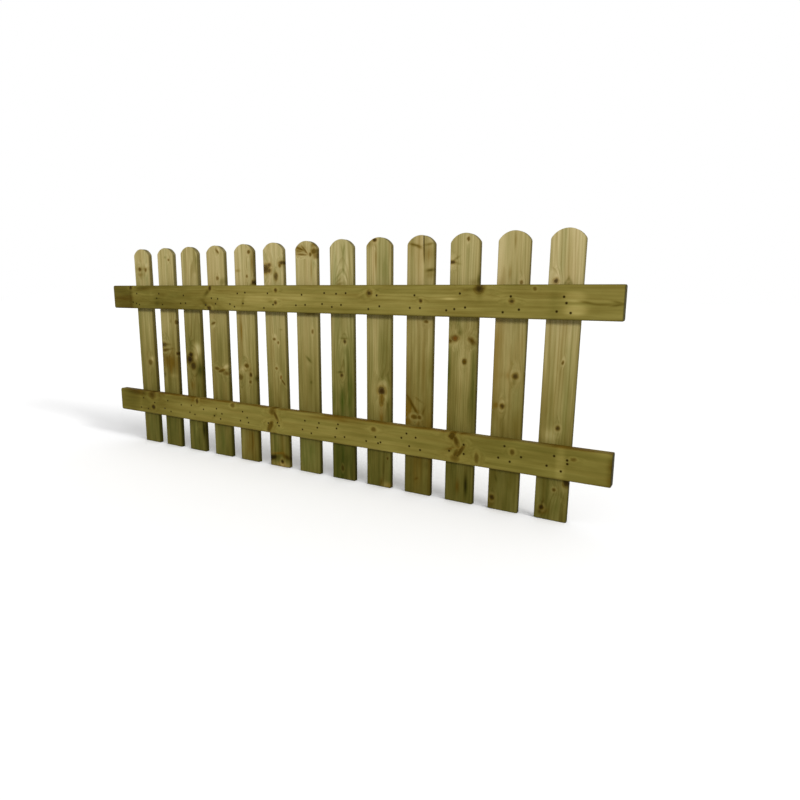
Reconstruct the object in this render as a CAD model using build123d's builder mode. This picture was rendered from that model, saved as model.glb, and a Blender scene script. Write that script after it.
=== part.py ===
"""Round-headed picket fence panel: thirteen pales nailed across two rails.

The panel is seen from its rail side. X runs along the rails to the right, Y runs from the
post faces of the rails towards the pales, and Z is up. The origin lies on the post face of
the bottom rail, in the middle of the length that bears on the left post. Millimetres.
"""

from math import cos, radians, sin
import os

from build123d import *

# Rails: planed boards on edge, with their arrises rounded
RAIL_LENGTH = 2000.0
RAIL_DEPTH = 92.0
RAIL_THICKNESS = 35.0
RAIL_ARRIS = 7.0
RAIL_SPACING = 431.5  # centre line to centre line
POST_BEARING = 100.0  # length of each rail end that lies on its post

# Pales: boards with a round head, flat against the rails
PALE_COUNT = 13
PALE_WIDTH = 92.0
PALE_THICKNESS = 18.0
PALE_LENGTH = 800.0
PALE_ARRIS = 4.0
PALE_PITCH = 142.0
FOOT_BELOW_RAIL = 131.5  # foot of a pale to the underside of the bottom rail
ROW_SHIFT = -9.0  # the row of pales stands a little nearer the left end
HEAD_RISE = 28.0
SHOULDER_RADIUS = 9.0  # soft corner between the head's arc and the side

# How far each hand-nailed pale stands off its even place, and how it leans to the right
PALE_SLIPS = {1: 5.5, 2: 2.0, 3: -1.5, 4: -2.0, 5: -3.5, 6: -3.0, 7: -3.0, 8: -1.0, 9: -2.5}
PALE_LEANS = {1: -0.2, 2: 0.5, 4: -0.3, 6: -0.7, 7: -0.3, 8: -0.4, 9: -0.3, 12: 0.3, 13: 0.6}

# The dry split that runs down from the head of one pale
SPLIT_PALE = 10
SPLIT_LENGTH = 86.0
SPLIT_WIDTH = 4.0
SPLIT_OFFSET = 10.5  # to the right of the pale's middle
SPLIT_DRIFT = 4.0  # its lower end wanders further right with the grain

RAIL_LEFT_END = -POST_BEARING / 2
RAIL_MIDDLE = RAIL_LEFT_END + RAIL_LENGTH / 2
FOOT_LEVEL = -RAIL_DEPTH / 2 - FOOT_BELOW_RAIL
FIRST_PALE = RAIL_MIDDLE + ROW_SHIFT - PALE_PITCH * (PALE_COUNT - 1) / 2


def rail(name, centre_height):
    """One rail: its rounded section, extruded from the left end to the right."""
    left_end = Plane(
        origin=(RAIL_LEFT_END, RAIL_THICKNESS / 2, centre_height),
        x_dir=(0, 1, 0),
        z_dir=(1, 0, 0),
    )
    with BuildPart() as board:
        with BuildSketch(left_end):
            RectangleRounded(RAIL_THICKNESS, RAIL_DEPTH, RAIL_ARRIS)
        extrude(amount=RAIL_LENGTH)
    board.part.label = name
    export_step(board.part, f"parts/{name}.step")
    return board.part


def pale_axes(number):
    """Centre of a pale, with the directions across it and up it, tilted by its lean."""
    lean = radians(PALE_LEANS.get(number, 0.0))
    centre = Vector(
        FIRST_PALE + PALE_PITCH * (number - 1) + PALE_SLIPS.get(number, 0.0),
        RAIL_THICKNESS + PALE_THICKNESS / 2,
        FOOT_LEVEL + PALE_LENGTH / 2,
    )
    across = Vector(cos(lean), 0, -sin(lean))
    upwards = Vector(sin(lean), 0, cos(lean))
    return centre, across, upwards


def pale(number):
    """One pale: an eased section as long as the pale, trimmed to the round-headed outline."""
    centre, across, upwards = pale_axes(number)
    foot_end = Plane(origin=centre - upwards * (PALE_LENGTH / 2), x_dir=across, z_dir=upwards)
    far_face = Plane(
        origin=centre + Vector(0, PALE_THICKNESS / 2, 0),
        x_dir=across,
        z_dir=(0, -1, 0),
    )
    half_width = PALE_WIDTH / 2
    foot = -PALE_LENGTH / 2
    head = PALE_LENGTH / 2
    shoulder = head - HEAD_RISE

    with BuildPart() as board:
        with BuildSketch(foot_end):
            RectangleRounded(PALE_WIDTH, PALE_THICKNESS, PALE_ARRIS)
        extrude(amount=PALE_LENGTH)

        with BuildSketch(far_face) as outline:
            with BuildLine():
                Polyline(
                    (-half_width, shoulder),
                    (-half_width, foot),
                    (half_width, foot),
                    (half_width, shoulder),
                )
                ThreePointArc((half_width, shoulder), (0, head), (-half_width, shoulder))
            make_face()
            shoulders = outline.vertices().group_by(Axis.Y)[-1]
            fillet(shoulders, radius=SHOULDER_RADIUS)
        extrude(amount=PALE_THICKNESS, mode=Mode.INTERSECT)

        if number == SPLIT_PALE:
            mouth_left = (SPLIT_OFFSET - SPLIT_WIDTH / 2, head)
            mouth_right = (SPLIT_OFFSET + SPLIT_WIDTH / 2, head)
            middle = SPLIT_OFFSET + SPLIT_DRIFT / 4
            half_height = head - SPLIT_LENGTH / 2
            tip = (SPLIT_OFFSET + SPLIT_DRIFT, head - SPLIT_LENGTH)
            with BuildSketch(far_face):
                with BuildLine():
                    ThreePointArc(mouth_left, (middle - SPLIT_WIDTH / 4, half_height), tip)
                    ThreePointArc(tip, (middle + SPLIT_WIDTH / 3, half_height), mouth_right)
                    Line(mouth_right, mouth_left)
                make_face()
            extrude(amount=PALE_THICKNESS, mode=Mode.SUBTRACT)

    name = f"pale_{number:02d}"
    board.part.label = name
    export_step(board.part, f"parts/{name}.step")
    return board.part


os.makedirs("parts", exist_ok=True)
rails = [rail("bottom_rail", 0.0), rail("top_rail", RAIL_SPACING)]
pales = [pale(number) for number in range(1, PALE_COUNT + 1)]
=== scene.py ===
"""Looks of a round-top picket fence panel made of pressure-treated pine.

Every board is skinned anew round its solid in the frame: a rounded section carried along the
board, with its place in the log stored on the surface, so that one timber finish can draw the
growth rings, knots, end grain and green treatment of every board. Lengths are in metres unless
a name says otherwise. "Across" and "along" are directions on a board, seen from the rail side.
"""

from __future__ import annotations

import logging
import math
from collections.abc import Sequence
from dataclasses import dataclass
from enum import Enum
from typing import ClassVar

import bmesh
import bpy
import numpy as np
from mathutils import Matrix, Vector

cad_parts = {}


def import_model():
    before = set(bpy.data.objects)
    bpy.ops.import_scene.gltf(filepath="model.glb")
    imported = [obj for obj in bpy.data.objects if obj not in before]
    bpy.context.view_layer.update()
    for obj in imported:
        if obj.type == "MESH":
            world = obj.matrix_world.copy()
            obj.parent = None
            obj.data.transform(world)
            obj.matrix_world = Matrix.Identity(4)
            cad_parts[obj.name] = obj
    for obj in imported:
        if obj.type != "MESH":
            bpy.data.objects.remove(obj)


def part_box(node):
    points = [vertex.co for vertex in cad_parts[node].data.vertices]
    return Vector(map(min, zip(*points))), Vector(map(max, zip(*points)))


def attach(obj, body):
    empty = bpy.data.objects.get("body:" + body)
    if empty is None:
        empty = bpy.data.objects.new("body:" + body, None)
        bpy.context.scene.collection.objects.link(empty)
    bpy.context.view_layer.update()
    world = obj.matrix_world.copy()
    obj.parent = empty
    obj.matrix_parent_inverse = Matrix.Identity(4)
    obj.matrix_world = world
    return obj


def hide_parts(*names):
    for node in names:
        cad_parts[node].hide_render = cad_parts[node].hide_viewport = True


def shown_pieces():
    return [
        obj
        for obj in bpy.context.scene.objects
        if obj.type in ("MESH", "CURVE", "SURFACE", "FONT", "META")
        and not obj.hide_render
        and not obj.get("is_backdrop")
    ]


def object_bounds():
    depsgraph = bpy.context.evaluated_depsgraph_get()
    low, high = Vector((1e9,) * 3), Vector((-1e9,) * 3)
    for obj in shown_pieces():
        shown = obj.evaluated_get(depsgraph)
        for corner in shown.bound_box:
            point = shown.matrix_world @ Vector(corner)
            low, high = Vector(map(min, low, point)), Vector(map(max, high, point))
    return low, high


LOG = logging.getLogger("picket_panel")
Socket = bpy.types.NodeSocket
Input = Socket | float | tuple
Pair = tuple[float, float]
Triple = tuple[float, float, float]
MM = 0.001
PHOTO_SIZE = 800.0  # the photograph is square, this many pixels each way
WELD = 0.002 * MM  # points nearer than this are one
SHARP_ANGLE = math.radians(42)  # faces that meet at more than this show an edge
LOG_STRIDE, LOG_LENGTH = 0.731, 9.0  # metres of log from board to board, and in all
DARKEST_TONE = 0.06  # however many stains overlap
FRONT_TURN = -0.5  # a face is in front when its normal's part in depth is below this
FLOOR_CORNERS = ((-1, -1), (1, -1), (1, 1), (-1, 1))
FAR_RADII = 60.0  # a place this many head radii away shows nothing of a nail


def linear(hex_colour: str) -> tuple[float, float, float, float]:
    """Turns an sRGB hex colour into linear light, by the sRGB curve.

    Args:
        hex_colour: A colour such as "#8a7e42".

    Returns:
        Red, green, blue and an alpha of one.
    """
    channels = [int(hex_colour[i : i + 2], 16) / 255 for i in (1, 3, 5)]
    light = [c / 12.92 if c <= 0.04045 else ((c + 0.055) / 1.055) ** 2.4 for c in channels]
    return (*light, 1.0)


def add_node(
    tree: bpy.types.NodeTree,
    kind: str,
    inputs: tuple | dict = (),
    output: int | str | None = 0,
    **settings: object,
) -> Socket | bpy.types.Node:
    """Adds one shader node with its settings and links.

    Args:
        tree: The node tree that gets the node.
        kind: The node's type name, without its leading "ShaderNode".
        inputs: Values or sockets, in order or by name or number; None leaves a default.
        output: Name or number of the output wanted, or None for the node itself.
        **settings: Properties of the node.

    Returns:
        The output socket, or the node.
    """
    node = tree.nodes.new("ShaderNode" + kind)
    for name, value in settings.items():
        setattr(node, name, value)
    pairs = inputs.items() if isinstance(inputs, dict) else enumerate(inputs)
    for key, value in pairs:
        if isinstance(value, bpy.types.NodeSocket):
            tree.links.new(value, node.inputs[key])
        elif value is not None:
            node.inputs[key].default_value = value
    return node if output is None else node.outputs[output]


@dataclass(frozen=True)
class Graph:
    """The node tree of a material or a world, with the steps that several of them share.

    A reach is a pair: where a change starts and where it ends.
    """

    tree: bpy.types.NodeTree

    @classmethod
    def of(cls, owner: bpy.types.Material | bpy.types.World) -> Graph:
        """Takes up the emptied node tree of a new material or world.

        Args:
            owner: The material or world.

        Returns:
            Its graph.
        """
        owner.use_nodes = True
        owner.node_tree.nodes.clear()
        return cls(owner.node_tree)

    def add(
        self, kind: str, inputs: tuple | dict = (), output: int | str = 0, **settings: object
    ) -> Socket:
        """Adds one node and gives one of its outputs."""
        return add_node(self.tree, kind, inputs, output, **settings)

    def read(self, name: str, output: str = "Vector") -> Socket:
        """Reads one of the skin's stored attributes."""
        return self.add("Attribute", (), output, attribute_name=name)

    def split(self, vector: Socket) -> Sequence[Socket]:
        """Takes a vector apart into its three numbers."""
        return add_node(self.tree, "SeparateXYZ", (vector,), None).outputs

    def math(self, operation: str, *values: Input, clamp: bool = False) -> Socket:
        """Works out a number from up to three others."""
        return self.add("Math", values, operation=operation, use_clamp=clamp)

    def vector(self, operation: str, *values: Input, output: str = "Vector") -> Socket:
        """Works out a vector from up to three others."""
        return self.add("VectorMath", values, output, operation=operation)

    def times(self, first: Input, second: Input) -> Socket:
        """Multiplies two numbers."""
        return self.math("MULTIPLY", first, second)

    def scale(self, value: Input, factor: Input, offset: Input) -> Socket:
        """Multiplies a number by a factor and adds an offset."""
        return self.math("MULTIPLY_ADD", value, factor, offset)

    def length(self, vector: Socket, stretch: tuple = (1.0, 1.0, 0.0)) -> Socket:
        """Measures a vector that is stretched first; as a rule its third number is left out."""
        stretched = self.vector("MULTIPLY", vector, stretch)
        return self.vector("LENGTH", stretched, output="Value")

    def ramp(
        self, value: Socket, reach: Pair, low: float, high: float, kind: str = "LINEAR"
    ) -> Socket:
        """Turns a value from low to high over its reach."""
        return self.add("MapRange", (value, *reach, low, high), interpolation_type=kind)

    def step(self, value: Socket, reach: Pair, low: float, high: float) -> Socket:
        """Turns a value from low to high over its reach, smoothly."""
        return self.ramp(value, reach, low, high, "SMOOTHSTEP")

    def band(self, value: Socket, rise: Pair, fall: Pair, high: float = 1.0) -> Socket:
        """Rises from nought to high over one reach of a value and falls back over another."""
        return self.times(self.step(value, rise, 0.0, high), self.step(value, fall, 1.0, 0.0))

    def mix(self, share: Socket, first: Input, second: Input) -> Socket:
        """Mixes two colours; the share is that of the second."""
        return self.add("Mix", {0: share, 6: first, 7: second}, 2, data_type="RGBA")

    def noise(self, place: Socket, per_metre: Triple, detail: float, output: str = "Fac") -> Socket:
        """Samples noise with its own number of features a metre across, in depth and along."""
        stretched = self.vector("MULTIPLY", place, tuple(per_metre))
        return self.add("TexNoise", {"Vector": stretched, "Scale": 1.0, "Detail": detail}, output)

    def shifts(self, place: Socket, per_metre: Triple, detail: float) -> Socket:
        """Samples noise as three numbers from minus a half to a half."""
        noise = self.noise(place, per_metre, detail, "Color")
        return self.vector("SUBTRACT", noise, (0.5, 0.5, 0.5))

    def coat(self, inputs: dict[str, Input]) -> None:
        """Joins the inputs of a surface shader to the material's output."""
        shader = self.add("BsdfPrincipled", inputs, "BSDF")
        add_node(self.tree, "OutputMaterial", {"Surface": shader}, None)


class Cut(Enum):
    """How a board was sawn from its log: where the pith lies from its middle, in mm."""

    FLAT_MIDDLE = (6.0, 62.0)
    FLAT_LEFT = (-26.0, 54.0)
    FLAT_RIGHT = (24.0, 58.0)
    RIFT_LEFT = (-70.0, 62.0)
    RIFT_RIGHT = (74.0, 58.0)
    QUARTER_LEFT = (-120.0, 18.0)
    QUARTER_RIGHT = (118.0, 22.0)


class KnotKind(Enum):
    """How dark a knot is, from a live red one to a dead black one."""

    LIVE = 0.0
    AGED = 0.5
    DEAD = 1.0


@dataclass(frozen=True)
class Knot:
    """A knot on the rail-side face of a board, in mm from its middle line and its foot.

    A weak one, below a strength of one, lets the wood show through. Its turn is in degrees, from
    across towards along.
    """

    across: float
    along: float
    half_width: float
    half_height: float
    strength: float = 1.0
    kind: KnotKind = KnotKind.AGED
    turn: float = 0.0


@dataclass(frozen=True)
class StainAndPaintedLight:
    """A soft patch of colour, in mm; light, green and brown are added at its middle.

    Most are stains in the wood; a few are painted shadows under the top rail and painted
    highlights on the top rail. It is turned from across towards along, in degrees, and fades the
    faster past its spread the higher its edge is.
    """

    across: float
    along: float
    spread_across: float
    spread_along: float
    light: float = 0.0
    green: float = 0.0
    brown: float = 0.0
    turn: float = 0.0
    edge: float = 1.0

    def share(self, across: np.ndarray, along: np.ndarray) -> np.ndarray:
        """Works out how much of the patch each place has.

        The distance from the middle is measured in spreads along the turned axes. The share is
        e to the power of minus its square, raised to the edge.

        Args:
            across: How far across each place is, in mm.
            along: How far along each place is, in mm.

        Returns:
            A share for each place, from nought to one at the middle.
        """
        turn = math.radians(self.turn)
        away_across, away_along = across - self.across, along - self.along
        wide = away_across * math.cos(turn) + away_along * math.sin(turn)
        high = away_along * math.cos(turn) - away_across * math.sin(turn)
        square = (wide / self.spread_across) ** 2 + (high / self.spread_along) ** 2
        return np.exp(-(square**self.edge))


@dataclass(frozen=True)
class Swell:
    """A place, in mm, where the rings bulge towards the face and show as nested arches."""

    across: float
    along: float
    spread_across: float
    spread_along: float
    lift: float


@dataclass(frozen=True)
class TreatedPine:
    """Planed pine, pressure-treated with a copper salt.

    The salt leaves the sapwood a green-tan and the latewood rings browner; the planed face is
    dull, with the rings standing out a little where the softer wood has shrunk back. Wherever its
    tone darkens it, by treatment and by painted shade alike, the wood loses its blue almost twice
    as fast.
    """

    name: str
    early: str = "#ad9f6b"
    late: str = "#807039"
    green: str = "#556420"
    brown: str = "#7d621f"
    knot_live: str = "#7c4d14"
    knot_aged: str = "#5a4300"
    knot_dead: str = "#362407"
    knot_rim: str = "#302300"
    end_grain: str = "#4d4724"
    end_share: float = 0.8
    nail_stain: str = "#332a04"
    roughness: float = 0.62
    rough_spread: float = 0.16
    sheen: float = 0.03
    blue_loss: float = 1.65

    # Growth rings: where in each, from nought to one, the late wood comes in and ends
    ring_spacing_mm: float = 6.5
    late_rise: Pair = (0.35, 0.88)
    late_fall: Pair = (0.92, 1.0)
    late_share: float = 0.55
    weakest_ring: float = 0.2
    ring_tint: float = 0.08
    log_taper: float = 0.012

    # How the pith wanders: features a metre, about 70 mm and 12 mm across, and their reach
    wanders: tuple[tuple[Triple, float], ...] = (
        ((7, 7, 1.3), 14 * MM),
        ((42, 42, 7), 2.5 * MM),
    )

    # Streaks, patches of hue and fibres: width, strength, and how many times longer than wide
    streak_mm: float = 6.0
    streak_share: float = 0.24
    streak_stretch: float = 45
    hue_mm: float = 13.0
    hue_share: float = 0.6
    hue_stretch: float = 12
    fibre_mm: float = 1.0
    fibre_share: float = 0.3
    fibre_stretch: float = 40

    # Clouds of treatment: features a metre, about 13 mm across and 60 mm along
    cloud_per_metre: Triple = (38, 38, 8)
    cloud_reach: Pair = (0.3, 0.7)
    cloud_gain: Pair = (0.4, 1.6)

    # The ragged outline of the knots: features a metre, about 3 mm across and 6 mm along
    ragged_per_metre: Triple = (150, 150, 90)
    knot_ragged_mm: float = 1.5
    knot_ragged_share: float = 0.25

    # Where each part of a knot starts and ends, in knot radii from its middle
    core: Pair = (0.3, 1.2)
    rim_rise: Pair = (0.4, 0.8)
    rim_fall: Pair = (0.8, 1.2)
    rim_share: float = 0.6
    rim_breaks: Pair = (0.35, 0.6)
    rim_weakest: float = 0.15
    halo: Pair = (0.9, 2.4)
    halo_share: float = 0.55
    swirl: Pair = (1.0, 3.2)
    swirl_share: float = 0.16
    pale_ring_rise: Pair = (1.2, 1.6)
    pale_ring_fall: Pair = (1.8, 3.0)
    pale_ring_share: float = 0.4
    ripples: float = 17.0
    ripple_share: float = 0.12

    # How the grain goes round a knot: the bend fades, and the swell is a long oval
    bend: Pair = (1.5, 5.0)
    oval: Triple = (0.45, 0.22, 0.0)
    swell: Pair = (0.1, 1.5)
    knot_swell: float = 1.8

    # Stained and crushed wood round a nail, in head radii from its middle
    nail_stained: Pair = (0.9, 1.9)
    nail_stain_share: float = 0.85
    nail_crushed: Pair = (1.0, 1.7)

    # Relief: how far late wood, fibres and knots stand out, and how deep crushed wood lies
    relief_mm: float = 0.25
    relief_strength: float = 0.8
    late_relief: float = 0.45
    fibre_relief: float = 0.5
    knot_relief: float = 0.8
    crushed_relief: float = -3.0

    def build(self) -> bpy.types.Material:
        """Makes the material from the surface's log, knot, nail, tone and end attributes.

        Returns:
            The finished material.
        """
        material = bpy.data.materials.new(self.name)
        graph = Graph.of(material)
        place, rho, cloud = self._log_place(graph)
        late, tint = self._rings(graph, place)
        fibre, gain = self._streaks(graph, place, tint)
        darkened = graph.times(graph.times(late, graph.read("figure", "Fac")), self.late_share)
        wood = graph.mix(darkened, linear(self.early), linear(self.late))
        wood = self._treat(graph, wood, place, cloud)
        wood, knot_mask = self._knots(graph, wood, rho, cloud)
        wood, dent = self._nail_marks(graph, wood)
        # the tone's light share holds real stains and the darkening towards the foot, and also painted
        # shade on the narrow sides and painted shadows and highlights
        gain = graph.times(gain, graph.split(graph.read("tone"))[0])
        soaked = graph.add("CombineXYZ", (gain, gain, graph.math("POWER", gain, self.blue_loss)))
        raised = graph.times(late, self.late_relief)
        for mark, relief in (
            (fibre, self.fibre_relief),
            (knot_mask, self.knot_relief),
            (dent, self.crushed_relief),
        ):
            raised = graph.scale(mark, relief, raised)
        lit = {"Strength": self.relief_strength, "Distance": self.relief_mm * MM, "Height": raised}
        graph.coat(
            {
                "Base Color": graph.vector("MULTIPLY", wood, soaked),
                "Roughness": graph.scale(
                    fibre, self.rough_spread, self.roughness - self.rough_spread / 2
                ),
                "Specular IOR Level": self.sheen,
                "Normal": graph.add("Bump", lit, "Normal"),
            }
        )
        return material

    def _log_place(self, graph: Graph) -> tuple[Socket, Socket, Socket]:
        """Reads the place in the log, and bends the grain round the nearest knot.

        The knot attribute holds the place relative to the nearest knot, in knot radii, and the
        knot's radius. The grain is carried round it as a stream is round a post: the sideways
        shift is the radius times the place across, over the squared distance. It also swells
        towards the face over the knot, which draws long ovals of rings round it.

        Args:
            graph: The material's nodes.

        Returns:
            The bent place in the log, the distance from the knot in radii, and slow noise.
        """
        place, knot = graph.read("log"), graph.read("knot")
        across, _, radius = graph.split(knot)
        ragged = graph.shifts(place, self.ragged_per_metre, 3.0)
        reach = graph.math("DIVIDE", 2 * self.knot_ragged_mm * MM, radius)
        reach = graph.math("ADD", reach, 2 * self.knot_ragged_share)
        rho = graph.length(graph.vector("MULTIPLY_ADD", ragged, reach, knot))
        outside = graph.math("MAXIMUM", graph.times(rho, rho), 1.0)
        stream = graph.math("DIVIDE", graph.times(across, radius), outside)
        shift = graph.times(stream, graph.step(rho, self.bend, -1.0, 0.0))
        swell = graph.step(graph.length(knot, self.oval), self.swell, self.knot_swell, 0.0)
        carried = graph.add("CombineXYZ", (shift, graph.times(swell, radius), 0.0))
        bent = graph.vector("ADD", place, carried)
        return bent, rho, graph.noise(bent, self.cloud_per_metre, 3.0)

    def _rings(self, graph: Graph, place: Socket) -> tuple[Socket, Socket]:
        """Draws the growth rings: the distance from the wandering pith, over the spacing.

        Each ring is pale where the spring wood starts and darkens to a thin late band, which
        ends sharply. Every ring has its own strength.

        Args:
            graph: The material's nodes.
            place: The place in the log.

        Returns:
            How much late wood there is, and each ring's own tint, both from nought to one.
        """
        wander = place
        for per_metre, reach in self.wanders:
            shifts = graph.shifts(place, per_metre, 2.0)
            wander = graph.vector("MULTIPLY_ADD", shifts, (2 * reach, 2 * reach, 0.0), wander)
        tapered = graph.scale(graph.split(wander)[2], self.log_taper, graph.length(wander))
        count = graph.math("DIVIDE", tapered, self.ring_spacing_mm * MM)
        number = graph.math("FLOOR", count)
        tint = graph.add("TexWhiteNoise", {"W": number}, "Value", noise_dimensions="1D")
        band = graph.band(graph.math("FRACT", count), self.late_rise, self.late_fall)
        strength = graph.scale(tint, 1 - self.weakest_ring, self.weakest_ring)
        return graph.times(band, strength), tint

    def _streaks(self, graph: Graph, place: Socket, tint: Socket) -> tuple[Socket, Socket]:
        """Draws the light and dark that runs with the grain, in streaks and single fibres.

        Args:
            graph: The material's nodes.
            place: The place in the log.
            tint: Each ring's own tint.

        Returns:
            The fibre pattern, and the gain in lightness, which is about one on average.
        """
        fine, broad = 0.5 / (self.fibre_mm * MM), 0.5 / (self.streak_mm * MM)
        fibre = graph.noise(place, (fine, fine, fine / self.fibre_stretch), 2.0)
        streak = graph.noise(place, (broad, broad, broad / self.streak_stretch), 3.0)
        plain = 1 - self.fibre_share / 2 - 2 * self.streak_share - self.ring_tint / 2
        gain = graph.scale(fibre, self.fibre_share, plain)
        gain = graph.scale(streak, 4 * self.streak_share, gain)
        return fibre, graph.scale(tint, self.ring_tint, gain)

    def _treat(self, graph: Graph, wood: Socket, place: Socket, cloud: Socket) -> Socket:
        """Lays the treatment's green and brown over the wood, and darkens the end grain.

        The tone attribute holds the amounts, and slow noise breaks them up. A broad streak
        pattern turns some of the grain greener and some browner, as the salt went in unevenly.

        Args:
            graph: The material's nodes.
            wood: The wood's colour.
            place: The place in the log.
            cloud: Slow noise.

        Returns:
            The treated colour.
        """
        _, green, brown = graph.split(graph.read("tone"))
        across = 0.5 / (self.hue_mm * MM)
        hue = graph.noise(place, (across, across, across / self.hue_stretch), 2.0)
        patchy = graph.ramp(cloud, self.cloud_reach, *self.cloud_gain)
        for amount, tint, side in ((green, self.green, 1.0), (brown, self.brown, -1.0)):
            streaked = graph.scale(hue, side * 2 * self.hue_share, -side * self.hue_share)
            streaked = graph.math("MAXIMUM", streaked, 0.0)
            wood = graph.mix(graph.scale(amount, patchy, streaked), wood, linear(tint))
        end = graph.times(graph.read("end", "Fac"), self.end_share)
        return graph.mix(end, wood, linear(self.end_grain))

    def _knots(
        self, graph: Graph, wood: Socket, rho: Socket, cloud: Socket
    ) -> tuple[Socket, Socket]:
        """Paints the nearest knot: its ringed core, broken dark rim and pale ring.

        Args:
            graph: The material's nodes.
            wood: The wood's colour.
            rho: The distance from the knot in radii.
            cloud: Slow noise.

        Returns:
            The colour, and a mask that is one inside the knot.
        """
        wave = graph.math("SINE", graph.times(rho, self.ripples))
        swirl = graph.times(wave, graph.step(rho, self.swirl, self.swirl_share, 0.0))
        halo = graph.step(rho, self.halo, self.halo_share, 0.0)
        wood = graph.mix(graph.math("ADD", halo, swirl, clamp=True), wood, linear(self.brown))
        ring = graph.band(rho, self.pale_ring_rise, self.pale_ring_fall, self.pale_ring_share)
        wood = graph.mix(ring, wood, linear(self.early))
        dark, strength, _ = graph.split(graph.read("knot_kind"))
        ringed = graph.scale(wave, self.ripple_share, dark)
        aged = graph.step(ringed, (KnotKind.LIVE.value, KnotKind.AGED.value), 0.0, 1.0)
        core = graph.mix(aged, linear(self.knot_live), linear(self.knot_aged))
        dead = graph.step(ringed, (KnotKind.AGED.value, KnotKind.DEAD.value), 0.0, 1.0)
        core = graph.mix(dead, core, linear(self.knot_dead))
        mask = graph.times(graph.step(rho, self.core, 1.0, 0.0), strength)
        wood = graph.mix(mask, wood, core)
        rim = graph.band(rho, self.rim_rise, self.rim_fall, self.rim_share)
        rim = graph.times(rim, graph.step(cloud, self.rim_breaks, self.rim_weakest, 1.0))
        return graph.mix(graph.times(rim, strength), wood, linear(self.knot_rim)), mask

    def _nail_marks(self, graph: Graph, wood: Socket) -> tuple[Socket, Socket]:
        """Darkens the wood round each nail, where iron and damp have stained it.

        Args:
            graph: The material's nodes.
            wood: The wood's colour.

        Returns:
            The colour, and how far the fibres are crushed round the nail.
        """
        distance = graph.length(graph.read("nail"))
        stained = graph.step(distance, self.nail_stained, self.nail_stain_share, 0.0)
        dent = graph.step(distance, self.nail_crushed, 1.0, 0.0)
        return graph.mix(stained, wood, linear(self.nail_stain)), dent


@dataclass(frozen=True)
class ZincSteel:
    """Round wire nails of zinc-coated steel, cold headed and driven home.

    Damp and tannin have turned the coating a dull dark brown, and it hardly shines. Rust shows
    where the hammer broke it. Where it is rusty, it is rougher and no metal.
    """

    name: str
    zinc: str = "#2c2400"
    rust: str = "#2a1c00"
    rust_patch_mm: float = 1.5
    rust_reach: Pair = (0.3, 0.5)
    sheen: float = 0.01
    metal: float = 0.1
    roughness: float = 0.45
    rust_roughness: float = 0.8

    def build(self) -> bpy.types.Material:
        """Makes the material: dull zinc with rust in patches.

        Returns:
            The finished material.
        """
        material = bpy.data.materials.new(self.name)
        graph = Graph.of(material)
        per_metre = 1.0 / (self.rust_patch_mm * MM)
        patches = graph.noise(graph.add("TexCoord", (), "Object"), (per_metre,) * 3, 3.0)
        rusted = graph.ramp(patches, self.rust_reach, 0.0, 1.0)
        graph.coat(
            {
                "Base Color": graph.mix(rusted, linear(self.zinc), linear(self.rust)),
                "Metallic": graph.scale(rusted, -self.metal, self.metal),
                "Roughness": graph.scale(
                    rusted, self.rust_roughness - self.roughness, self.roughness
                ),
                "Specular IOR Level": self.sheen,
            }
        )
        return material


@dataclass(frozen=True)
class Place:
    """Where a board lies: the middle of its starting end, and its three directions."""

    start: np.ndarray
    across: np.ndarray
    depth: np.ndarray
    along: np.ndarray

    def to_frame(self, board_points: np.ndarray) -> np.ndarray:
        """Turns rows of across, depth and along into places in the frame."""
        return self.start + board_points @ np.stack([self.across, self.depth, self.along])

    def to_board(self, frame_points: np.ndarray) -> np.ndarray:
        """Turns places in the frame into rows of across, depth and along."""
        return (frame_points - self.start) @ np.stack([self.across, self.depth, self.along]).T


def read_points(mesh: bpy.types.Mesh) -> np.ndarray:
    """Reads a mesh's vertices as rows of three.

    Args:
        mesh: The mesh.

    Returns:
        One row of coordinates a vertex.
    """
    flat = np.empty(len(mesh.vertices) * 3)
    mesh.vertices.foreach_get("co", flat)
    return flat.reshape(-1, 3)


def weave_quads(rows: int, columns: int) -> np.ndarray:
    """Numbers the four corners of every face of a grid of points whose rows are closed rings.

    Args:
        rows: How many rows of points.
        columns: How many points a row.

    Returns:
        One row of four point numbers a face.
    """
    row = np.arange(rows - 1)[:, None] * columns
    column = np.arange(columns)[None, :]
    after = (column + 1) % columns
    corners = [row + column, row + after, row + columns + after, row + columns + column]
    return np.stack([c.ravel() for c in corners], axis=1)


def row_table(*columns: np.ndarray | float) -> np.ndarray:
    """Stacks columns into rows; a single number fills its column."""
    return np.stack(np.broadcast_arrays(*columns), axis=1)


def close_mesh(name: str, points: np.ndarray, faces: list[list[int]]) -> bpy.types.Mesh:
    """Makes a mesh, welds what meets at its seams and poles, and turns its faces outwards.

    Args:
        name: The mesh's name.
        points: One row of coordinates a vertex.
        faces: A list of point numbers a face.

    Returns:
        The mesh, smooth but for its sharp edges.
    """
    mesh = bpy.data.meshes.new(name)
    mesh.from_pydata(points.tolist(), [], faces)
    work = bmesh.new()
    work.from_mesh(mesh)
    bmesh.ops.remove_doubles(work, verts=work.verts, dist=WELD)
    bmesh.ops.recalc_face_normals(work, faces=work.faces)
    work.to_mesh(mesh)
    work.free()
    mesh.shade_smooth()
    mesh.set_sharp_from_angle(angle=SHARP_ANGLE)
    return mesh


def put_in_scene(name: str, data: bpy.types.ID) -> bpy.types.Object:
    """Adds an object at the origin that shows a mesh, a lamp or a camera.

    Args:
        name: The object's name.
        data: Its mesh, lamp or camera.

    Returns:
        The object.
    """
    piece = bpy.data.objects.new(name, data)
    bpy.context.scene.collection.objects.link(piece)
    return piece


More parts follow.
